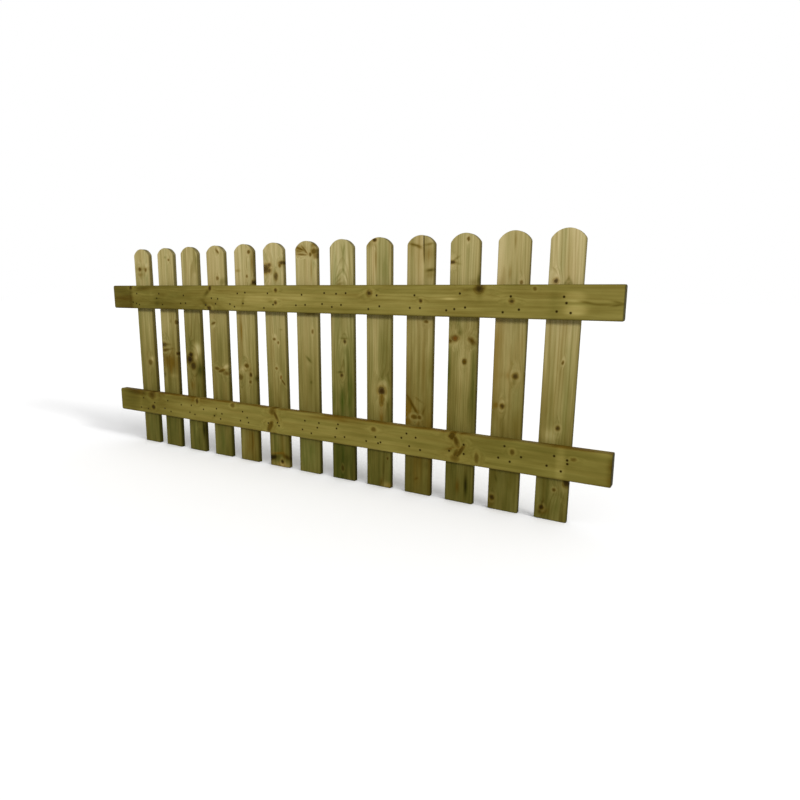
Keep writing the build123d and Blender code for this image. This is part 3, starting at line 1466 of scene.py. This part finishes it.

# Rows of knots: across, along, half width, half height, strength, kind, turn
# Rows of stains and of painted shadows and highlights: across, along, spread across, spread along,
# light, green, brown, turn, edge
PALE_LOOKS = {
    1: Look(
        Cut.FLAT_LEFT,
        marks(
            Knot,
            (-13, 720, 9, 7, 0.9), (23, 717, 6, 7, 0.7), (15, 341, 10, 9, 0.45),
        ),
        marks(
            StainAndPaintedLight,
            (0, 748, 46, 16, 0.06), (10, 695, 40, 24, 0, 0.14), (32, 735, 9, 8, 0.2),
            (-10, 700, 14, 10, -0.06, 0, 0.6), (29, 356, 9, 11, 0.4), (0, 722, 46, 7, -0.08, 0, 0.4),
            (0, 60, 60, 80, 0.02, -0.06, -0.15),
        ),
        figure=0.6, light=0.97,
    ),
    2: Look(
        Cut.RIFT_RIGHT,
        marks(
            Knot,
            (21, 754, 5, 4, 0.7), (43, 512, 4, 7, 0.7), (-34, 418, 17, 9, 0.75, DEAD, 5),
            (-26, 397, 16, 6, 0.85, AGED, 8), (43, 387, 4, 6, 0.9, DEAD),
        ),
        marks(
            StainAndPaintedLight,
            (1, 764, 5, 4, -0.3, 0.15), (15, 773, 7, 6, 0.14), (0, 505, 60, 46, 0.14),
            (14, 515, 5, 8, -0.22, 0, 0.2), (-10, 421, 18, 4, -0.26, 0, 0.4),
            (2, 402, 18, 3.5, -0.24, 0, 0.5, 10), (0, 350, 50, 46, -0.04, 0, 0.8),
            (-34, 297, 7, 9, -0.24, 0.2), (15, 295, 22, 8, 0.2), (0, 60, 60, 80, -0.03, -0.04, -0.15),
        ),
        light=0.99,
    ),
    3: Look(
        Cut.FLAT_RIGHT,
        marks(
            Knot,
            (-22, 367, 16, 16, 1, DEAD), (-15, 386, 10, 9, 1, DEAD), (-4, 343, 12, 13, 0.75, DEAD, -25),
        ),
        marks(
            StainAndPaintedLight,
            (-14, 740, 8, 90, -0.1, 0, 0.2), (14, 745, 14, 60, 0.06), (40, 748, 5, 18, -0.2, 0.2),
            (30, 695, 9, 10, 0.2), (0, 460, 60, 110, -0.16, 0.1), (-14, 362, 26, 34, -0.06, 0, 0.4),
            (22, 410, 21, 25, 0.56, 0, -0.2, 0, 1.5), (14, 376, 9, 10, 0.55),
            (30, 330, 18, 26, -0.28, 0.4), (28, 270, 18, 50, -0.08, 0.3), (-10, 265, 12, 20, 0, 0, 0.5),
            (-6, 92, 4, 28, 0.12), (38, 90, 10, 40, -0.3), (-6, 60, 60, 80, 0.01, -0.05, -0.2),
        ),
        (Swell(2, 45, 30, 70, 22),),
        figure=1.2, light=0.94,
    ),
    4: Look(
        Cut.QUARTER_RIGHT,
        marks(
            Knot,
            (14, 779, 9, 4, 0.75, AGED, -47), (9, 681, 6, 6, 0.6), (-23, 514, 10, 4, 0.75, AGED, 20),
            (-15, 342, 11, 5, 0.7, AGED, -8), (10, 335, 14, 5, 0.7, AGED, 16), (34, 326, 12, 6, 0.6),
        ),
        marks(
            StainAndPaintedLight,
            (22, 784, 6, 5, 0.2), (33, 668, 18, 13, -0.34, 0, 0, 20, 1.5),
            (0, 440, 60, 110, -0.12, 0.04), (-18, 503, 14, 6, 0.2, 0, 0, 20),
            (0, 340, 44, 10, 0, 0, 0.5), (32, 351, 15, 8, 0.75, 0, 0.2, 25),
            (0, 60, 60, 80, 0.06, 0.1, -0.2),
        ),
        figure=0.7, light=1.01,
    ),
    5: Look(
        Cut.FLAT_LEFT,
        marks(
            Knot,
            (27, 772, 6, 6, 0.95), (15, 687, 4, 5, 0.6), (43, 665, 6, 8, 0.9, DEAD),
            (-1, 363, 9, 7, 0.9), (18, 330, 6, 7, 0.85, DEAD), (15, 303, 5, 5, 0.55),
            (-33, 318, 9, 9, 0.5),
        ),
        marks(
            StainAndPaintedLight,
            (42, 730, 9, 70, -0.2, 0, 0.6), (34, 656, 13, 6, -0.35, 0, 0.2, 40),
            (-27, 707, 12, 4, -0.14, 0, 0.5), (-21, 347, 13, 14, 0.5), (43, 318, 6, 10, -0.4),
            (4, 350, 22, 16, 0, 0, 0.3), (-20, 480, 5, 66, 0.1, 0, 0.7), (0, 400, 60, 100, 0.05),
            (-4, 60, 50, 80, 0.14, -0.2, 0.4), (16, 75, 3, 40, -0.08, 0, 0.3),
        ),
        light=1.03,
    ),
    6: Look(
        Cut.RIFT_LEFT,
        marks(
            Knot,
            (-34, 712, 17, 15, 0.85, DEAD, 15), (-18, 724, 9, 7, 0.75, DEAD, 20),
            (-18, 706, 9, 8, 0.8, DEAD), (39, 730, 11, 6, 0.8, DEAD, 5), (31, 722, 5, 7, 0.8),
            (12, 685, 8, 12, 0.75, DEAD), (-6, 467, 6, 4, 0.8), (12, 455, 4, 4, 0.7),
            (0, 363, 5, 4, 0.5), (19, 332, 4, 6, 0.7, LIVE), (29, 315, 3, 11, 0.7, AGED, 38),
            (12, 19, 6, 7, 1, DEAD),
        ),
        marks(
            StainAndPaintedLight,
            (-26, 712, 26, 22, -0.06, 0, 0.4), (36, 727, 18, 12, -0.06, 0, 0.4),
            (27, 501, 7, 3, -0.24, 0, 0.2), (-6, 478, 9, 6, 0.18),
            (-32, 31, 20, 9, -0.5, -0.2, 0.8, 14), (-14, 48, 30, 4, 0.2, -0.3, 0.9, 8),
            (0, 400, 60, 100, 0.06), (0, 90, 60, 50, 0.14), (36, 38, 18, 8, -0.22, -0.2, 0.8, -22),
            (12, 6, 40, 12, 0.5, -0.3, 0.5), (12, 54, 5, 16, 0.1, 0.2),
        ),
        light=1.06,
    ),
    7: Look(
        Cut.QUARTER_LEFT,
        marks(
            Knot,
            (-3, 770, 3, 16, 0.6, AGED, 42), (-16, 756, 20, 3, 0.65, AGED, -4),
            (-28, 777, 18, 3, 0.5, AGED, -20), (20, 755, 5, 6, 0.85), (36, 764, 10, 8, 0.7),
            (41, 750, 8, 8, 0.5), (23, 500, 4, 6, 0.6),
        ),
        marks(
            StainAndPaintedLight,
            (-24, 772, 24, 14, -0.25, 0, 0.9), (32, 764, 16, 14, -0.12, 0, 0.6),
            (35, 784, 11, 8, -0.12, 0, 0.9), (22, 702, 3, 40, -0.1, 0, 0.7),
            # (14, 562): painted shadow under the top rail, over a brown stain
            (14, 562, 30, 6, -0.4, 0, 0.6), (4, 404, 15, 4, -0.32, 0.4, 0, -43), (6, 388, 12, 8, 0.1),
            (13, 325, 5, 5, -0.2, 0.1), (0, 60, 60, 80, 0.15, 0.08, -0.2), (0, 330, 60, 80, -0.08),
            (18, 70, 7, 60, 0.05),
        ),
        figure=0.8, light=1.04,
    ),
    8: Look(
        Cut.FLAT_MIDDLE,
        marks(
            Knot,
            (11, 472, 5, 6, 0.85, DEAD), (-3, 360, 5, 6, 0.8, DEAD), (-4, 38, 4, 8, 0.5),
        ),
        marks(
            StainAndPaintedLight,
            (4, 768, 3, 16, -0.3, 0.1, 0, 10), (12, 768, 3, 16, -0.3, 0.1, 0, -10),
            (8, 748, 3, 12, -0.2, 0.1), (-8, 688, 22, 3, -0.25, 0.1, 0, 43),
            (17, 686, 20, 3, -0.25, 0.1, 0, -63), (18, 672, 5, 18, 0.3, 0, 0, 19),
            (-10, 670, 17, 3, -0.2, 0, 0.2, 36), (-8, 658, 16, 4, -0.3, 0, 0.3, 14),
            (0, 740, 60, 80, 0.12, 0.05, -0.1), (32, 700, 3, 70, -0.2, 0.1), (9, 483, 15, 3, -0.4),
            (11, 462, 16, 12, 0.12), (-8, 370, 12, 3, -0.4, 0, 0, 8),
            (0, 410, 60, 120, -0.11, 0.06, -0.12), (24, 370, 3, 50, -0.2, 0.1), (14, 410, 4, 30, 0.16),
            (0, 250, 60, 90, -0.05, 0.22, -0.1), (24, 280, 5, 50, -0.12, 0.1),
            (0, 60, 70, 90, -0.11, 0.06, -0.35),
        ),
        (Swell(5, 650, 30, 60, 20), Swell(6, 400, 26, 70, 16)),
        green=0.1, brown=-0.04, figure=1.5, light=0.99,
    ),
    9: Look(
        Cut.RIFT_RIGHT,
        marks(
            Knot,
            (-14, 792, 7, 5, 0.95, DEAD), (12, 320, 14, 15, 1, DEAD), (12, 300, 8, 24, 0.85),
            (34, 100, 3, 4, 0.8),
        ),
        marks(
            StainAndPaintedLight,
            (-28, 784, 14, 12, -0.2, 0, 0.4), (-18, 722, 5, 62, 0.36, 0, 0.3),
            (-9, 742, 3, 46, -0.26, 0, 0.8), (24, 710, 22, 100, -0.08, 0.34),
            (12, 315, 32, 38, 0.35, 0.15), (38, 300, 7, 100, -0.14, 0.3), (30, 350, 9, 12, 0.14),
            (-20, 460, 18, 100, 0.14), (26, 450, 24, 100, -0.12, 0.3), (12, 250, 8, 36, 0.2, 0, 0.9),
            (18, 62, 5, 30, -0.12, 0, 0.3), (13, 16, 8, 16, -0.06, -0.4, 1.3, -10),
            (33, 8, 14, 10, 0.4, -0.4, 0.7),
        ),
        (Swell(12, 318, 26, 44, 14),),
        figure=1.2, light=0.97,
    ),
    10: Look(
        Cut.FLAT_RIGHT,
        marks(
            Knot,
            (23, 546, 6, 4, 0.8), (5, 249, 6, 5, 0.65), (-13, 249, 9, 6, 0.75),
        ),
        marks(
            StainAndPaintedLight,
            (-24, 773, 15, 3.5, -0.42, 0, 0.4, -14), (12, 758, 3, 46, -0.3, 0, 0.3, 0, 2),
            (-6, 767, 12, 4, -0.42, 0, 0.4, -24), (30, 773, 18, 3.5, -0.34, 0, 0.4, 8),
            (30, 748, 18, 22, -0.14, 0, 0.4), (-20, 750, 24, 50, 0, 0, 0.15),
            (34, 698, 14, 4.5, -0.7, 0, 0.4, 6), (33, 684, 14, 10, -0.22, 0, 0.2),
            # (14, 555): painted shadow under the top rail
            (14, 555, 10, 4, -0.2), (-18, 283, 36, 4, -0.3, 0, 1.1, -55),
            (-34, 262, 16, 36, 0.14, 0, 1.0), (0, 190, 60, 70, 0.08, -0.05, 0.1),
            (2, 304, 16, 2.5, -0.14, 0, 0.4, -30), (20, 272, 3, 15, -0.14, 0, 0.2, -20),
            (32, 330, 12, 110, 0, 0.25), (-2, 50, 7, 3, -0.16, 0, 0.3, 30),
            (4, 60, 12, 60, 0.14, -0.05), (30, 100, 8, 14, -0.1),
        ),
        brown=0.16, figure=0.8, light=0.99,
    ),
    11: Look(
        Cut.QUARTER_RIGHT,
        marks(
            Knot,
            (10, 783, 4, 5, 0.85), (-38, 719, 9, 5, 0.85, DEAD), (-24, 500, 12, 8, 0.9, LIVE, 10),
            (-40, 492, 8, 6, 0.85, AGED, 10), (30, 495, 12, 7, 0.95, AGED, -35), (8, 433, 6, 8),
        ),
        marks(
            StainAndPaintedLight,
            (-26, 729, 13, 3, -0.36, 0, 0.2, 32), (-24, 716, 11, 3, -0.36, 0, 0.2, -12),
            (44, 668, 5, 16, -0.5), (29, 662, 10, 8, -0.16, 0, 0.4), (0, 520, 60, 40, -0.1, 0, 0.1),
            (-10, 516, 9, 8, -0.28, 0.3, 0, 30), (34, 482, 12, 6, -0.14, 0.2), (0, 420, 40, 80, 0.13),
            (38, 370, 8, 90, -0.16, 0.7), (24, 300, 8, 60, -0.06, 0.3), (-42, 400, 7, 100, -0.08, 0.6),
            (23, 58, 6, 36, -0.3, 0.15), (-3, 50, 8, 24, 0, 0, 0.5),
        ),
        light=0.94,
    ),
    12: Look(
        Cut.FLAT_LEFT,
        marks(
            Knot,
            (25, 661, 4, 5, 0.6), (21, 402, 8, 8, 0.8, DEAD), (-13, 312, 6, 7, 0.8, DEAD),
            (-32, 35, 6, 7, 0.85, DEAD),
        ),
        marks(
            StainAndPaintedLight,
            (3, 776, 3, 24, -0.2, 0, 0.5), (-8, 685, 4, 20, -0.1, 0, 0.5), (8, 402, 24, 9, 0, 0, 0.4),
            (18, 387, 6, 12, -0.24, 0, 0.2), (-5, 328, 9, 7, 0.2), (-22, 313, 16, 8, -0.06, 0, 0.6),
            (-10, 420, 60, 110, 0.12, 0, 0.08), (-22, 95, 3, 10, -0.18, 0.1, 0, 15),
            (-34, 26, 12, 16, 0, 0, 0.6),
        ),
        brown=0.12, light=1.07,
    ),
    13: Look(
        Cut.RIFT_LEFT,
        marks(
            Knot,
            (-25, 664, 7, 7, 0.85, DEAD), (8, 449, 3, 5, 0.75, AGED, -20), (6, 267, 5, 6, 0.85, DEAD),
            (41, 117, 10, 12, 0.9, DEAD), (7, 91, 4, 4, 0.9), (-25, 34, 6, 6, 0.85, DEAD),
        ),
        marks(
            StainAndPaintedLight,
            (0, 740, 60, 90, -0.14, 0.03), (-28, 678, 14, 8, 0.1, 0, 0.2),
            (3, 664, 3, 11, -0.4, 0.2, 0, -30), (13, 664, 3, 11, -0.4, 0.2, 0, 30),
            (8, 657, 10, 3, -0.4, 0.2), (-15, 245, 18, 20, 0.5), (0, 350, 60, 120, 0.05, 0, 0.06),
            (20, 96, 16, 12, 0.14, 0, 0.2), (-23, 48, 3, 10, -0.2, 0, 0.3, -15),
            (-29, 22, 4, 8, -0.18, 0, 0.3, -15), (-24, 26, 18, 12, 0, 0, 0.5),
        ),
        (Swell(12, 92, 24, 36, 14),),
        figure=1.1, light=1.22,
    ),
}
PALE_SPLITS = {10: Split(offset=10.5, length=86.0, width=4.0, drift=4.0)}

# On a rail, across is up from its middle line and along is from its left end
RAIL_LOOKS = {
    "top_rail": Look(
        Cut.RIFT_LEFT,
        marks(
            Knot,
            (38, 112, 7, 8, 0.8, DEAD), (36, 566, 8, 6, 0.8, DEAD), (-37, 558, 7, 9, 0.75, DEAD),
            (29, 882, 6, 6, 0.8, DEAD), (-13, 880, 6, 6, 0.8, DEAD), (21, 1259, 9, 9, 0.9, DEAD, -30),
            (-1, 1438, 5, 5, 0.85, DEAD), (35, 1620, 12, 13, 0.85, DEAD), (1, 1714, 6, 7, 0.8, DEAD),
            (35, 1776, 4, 4, 0.55),
        ),
        marks(
            StainAndPaintedLight,
            (0, 20, 300, 97, -0.2, 0, 0.2, 0, 4), (0, 110, 60, 10, -0.1, 0, 0.3),
            (0, 290, 80, 240, -0.18, 0.12, 0.15), (34, 170, 8, 50, -0.16, 0, 0.4),
            (-25, 135, 10, 22, -0.12), (-4, 268, 4, 20, -0.18), (-25, 268, 9, 14, -0.16),
            (16, 235, 16, 10, 0.08), (20, 551, 24, 8, -0.3, 0, 0.2, 47),
            (-24, 540, 26, 7, -0.25, 0, 0.1, -50), (-12, 728, 18, 6, -0.22, 0, 0.1, 15),
            # The light patches at along 790, 800, 970, 1130, 1510, 1530 and 1665 are painted
            # highlights, the rail's sheen on its ridges
            (0, 800, 80, 170, 0.14), (4, 790, 10, 60, 0.14), (5, 970, 8, 90, 0.18),
            (0, 880, 7, 20, 0.2, 0.05), (-11, 860, 5, 14, -0.24), (2, 1130, 5, 40, 0.18),
            (0, 1400, 80, 130, 0.12, 0.04), (6, 1428, 10, 4, -0.18, 0, 0, -50), (12, 1510, 7, 60, 0.14),
            (6, 1530, 3, 22, 0.5), (34, 1595, 7, 30, -0.2, 0, 0.5), (16, 1622, 14, 10, -0.18),
            (12, 1665, 7, 44, 0.12), (8, 1714, 5, 6, -0.2), (14, 1880, 14, 28, 0.36, 0.06, 0, 0, 2),
            (-20, 1884, 14, 30, 0.42, 0, 0, 0, 2), (0, 1912, 3, 20, -0.24, 0, 0.5, 10),
            (-5, 1950, 2.5, 24, -0.18, 0, 0.3), (2, 1984, 2.5, 14, -0.25, 0, 0.3, 10),
            (-6, 1984, 2.5, 14, -0.25, 0, 0.3, -10), (0, 1828, 60, 14, -0.06, 0.1),
        ),
        (Swell(0, 150, 30, 60, 14), Swell(10, 300, 24, 70, 16), Swell(-10, 560, 26, 80, 14)),
        # side: painted shade on the top and bottom edges, with green and brown
        light=0.63, green=0.12, brown=0.24, figure=1.6, side_painted_light_and_tone=(-0.25, 0.1, 0.1),
    ),
    "bottom_rail": Look(
        Cut.FLAT_RIGHT,
        marks(
            Knot,
            (36, 203, 15, 17, 0.8, AGED, 15), (-16, 207, 8, 9, 0.85, DEAD), (34, 467, 9, 6, 0.7, DEAD),
            (37, 657, 7, 8, 0.45), (36, 852, 11, 12, 0.6), (22, 866, 20, 5, 0.7, AGED, -31),
            (-22, 839, 19, 8, 0.65, AGED, 28), (22, 1275, 6, 8, 0.6), (36, 1550, 10, 10, 0.85),
            (24, 1562, 18, 7, 0.85, AGED, -25), (-8, 1576, 20, 5, 0.65, AGED, 33),
            (-16, 1563, 14, 6, 0.8, AGED, 30), (-30, 1560, 9, 11, 0.4), (14, 1734, 7, 5, 0.6),
            (-20, 1628, 13, 5, 0.5), (18, 1902, 4, 6, 0.5),
        ),
        marks(
            StainAndPaintedLight,
            (0, 10, 300, 100, -0.12, 0, 0, 0, 3), (0, 170, 80, 170, -0.18, 0.04, 0.12),
            (0, 130, 60, 9, 0.08), (0, 500, 80, 200, 0.03), (0, 1690, 80, 170, -0.1, 0.06),
            (0, 1960, 80, 160, -0.06, 0.08), (0, 2000, 80, 10, -0.16, 0, 0.4),
            (0, 1868, 60, 13, 0.18, 0, 0, 0, 2), (38, 120, 10, 100, -0.14, 0, 0.4),
            (36, 420, 9, 130, -0.1, 0, 0.4), (38, 1110, 8, 90, 0.06, 0, 0.6),
            (-14, 560, 14, 6, -0.2, 0, 0.2, 45), (-19, 557, 4, 10, 0.12),
            (10, 850, 40, 22, -0.04, 0, 0.4), (10, 1560, 40, 26, -0.04, 0, 0.4),
            (2, 1566, 3, 30, 0.12, 0, 0.6, -12), (10, 1378, 7, 30, -0.05, 0.1),
        ),
        # side: a painted highlight on the top and bottom faces, with brown
        light=0.59, green=0.13, brown=0.2, side_painted_light_and_tone=(0.2, 0.0, 0.6),
    ),
}

# Nails driven from the rail side, up from the rail's middle line and along from its left end
RAIL_NAILS = {
    "top_rail": (
        *((14, 148), (-21, 122), (-26, 143), (-30, 160)),
        *((14, 282), (-4, 268), (-28, 300)),
        *((8, 422), (-22, 405), (-21, 432)),
        *((-1, 572), (-3, 604), (-21, 592), (-26, 541)),
        *((17, 703), (20, 740), (-21, 665), (-30, 687), (-18, 729)),
        *((18, 845), (-20, 869), (-32, 827)),
        *((14, 994), (-21, 969), (-19, 1008)),
        *((20, 1087), (18, 1134), (20, 1171), (-15, 1078), (-24, 1117), (-17, 1153)),
        *((14, 1286), (-19, 1296), (-28, 1256)),
        *((15, 1417), (-22, 1402), (-22, 1436)),
        *((21, 1562), (-23, 1546), (-18, 1579), (-27, 1521)),
        *((14, 1711), (-21, 1735), (-29, 1690)),
        *((14, 1853), (-2, 1860), (-24, 1836), (-27, 1872)),
    ),
    "bottom_rail": (
        *((17, 148), (-25, 129), (-27, 173), (3, 216)),
        *((19, 297), (-15, 277), (-24, 313), (10, 376)),
        *((14, 434), (-15, 424), (-21, 452)),
        *((5, 501), (15, 572), (-2, 600), (-14, 559), (-23, 592)),
        *((18, 707), (-2, 729), (-17, 695), (-20, 735)),
        *((-14, 881), (-4, 874), (-10, 831)),
        *((18, 998), (-14, 987)),
        *((17, 1058), (0, 1051), (-23, 1025), (22, 1137), (7, 1131), (-23, 1125), (-18, 1163)),
        *((-2, 1283), (-20, 1248), (-21, 1293), (-17, 1302)),
        *((24, 1396), (8, 1378), (15, 1428), (-15, 1406), (-22, 1444)),
        *((15, 1587), (-10, 1541), (-13, 1588)),
        *((28, 1711), (3, 1760), (-8, 1694), (-15, 1728)),
        *((20, 1851), (-10, 1832), (-20, 1871), (3, 1887), (13, 1886)),
    ),
}


def build_panel() -> None:
    """Builds every board and the nails that hold the panel together."""
    pale_finish, rail_finish, nail_finish = PALE_PINE.build(), RAIL_PINE.build(), NAIL_STEEL.build()
    for number, look in PALE_LOOKS.items():
        node = f"pale_{number:02d}"
        pale = Pale(
            node,
            "pale_timber",
            *Pale.lie(node),
            finish=pale_finish,
            look=look,
            seed=number,
            split=PALE_SPLITS.get(number),
        )
        pale.dress()
    for seed, (node, look) in enumerate(RAIL_LOOKS.items(), start=21):
        rail = Rail(
            node,
            "rail_timber",
            *Rail.lie(node),
            finish=rail_finish,
            look=look,
            seed=seed,
            nails_mm=RAIL_NAILS[node],
        )
        rail.dress()
        NailHeads(rail, nail_finish, seed).dress()


def main() -> None:
    """Loads the frame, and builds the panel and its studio."""
    logging.basicConfig(level=logging.INFO, format="%(name)s: %(message)s")
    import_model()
    cad_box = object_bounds()
    build_panel()
    Studio().build(floor_level=cad_box[0][2])
    PhotoCamera().build()


if __name__ == "__main__":
    main()
